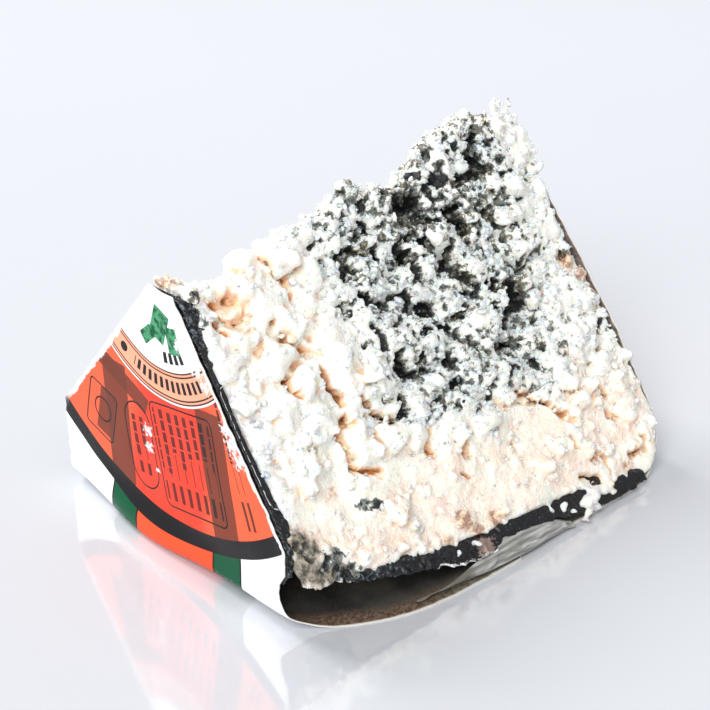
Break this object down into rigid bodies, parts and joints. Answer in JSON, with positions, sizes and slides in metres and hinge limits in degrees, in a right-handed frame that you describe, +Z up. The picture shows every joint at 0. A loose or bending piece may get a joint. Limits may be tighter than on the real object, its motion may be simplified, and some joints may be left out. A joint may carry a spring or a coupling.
{
  "type": "blue cheese wedge in wrapper",
  "caption": "Crumbly wedge of blue-veined cheese cut from a tall wheel, standing on its rim in the wheel's printed wrapper, open at both cuts.",
  "frame": {"origin": "middle of the footprint, on the plane the wedge stands on", "axes": "+X along the wheel's axis from the printed face to the far face, +Y to the back cut, +Z up"},
  "size_m": [0.1276, 0.1272, 0.0925],
  "materials": {
    "cheese_paste": "matte, crumbly, slightly moist, with blue-green mould",
    "wrapper_print": "printed coated paper in orange, green, black and white, satin",
    "dark_foil": "dark crumpled foil, soiled by mould"
  },
  "bodies": {
    "root": {"cheese": "cheese_paste", "wrapper": "wrapper_print", "foil_lining": "dark_foil"}
  },
  "joints": []
}
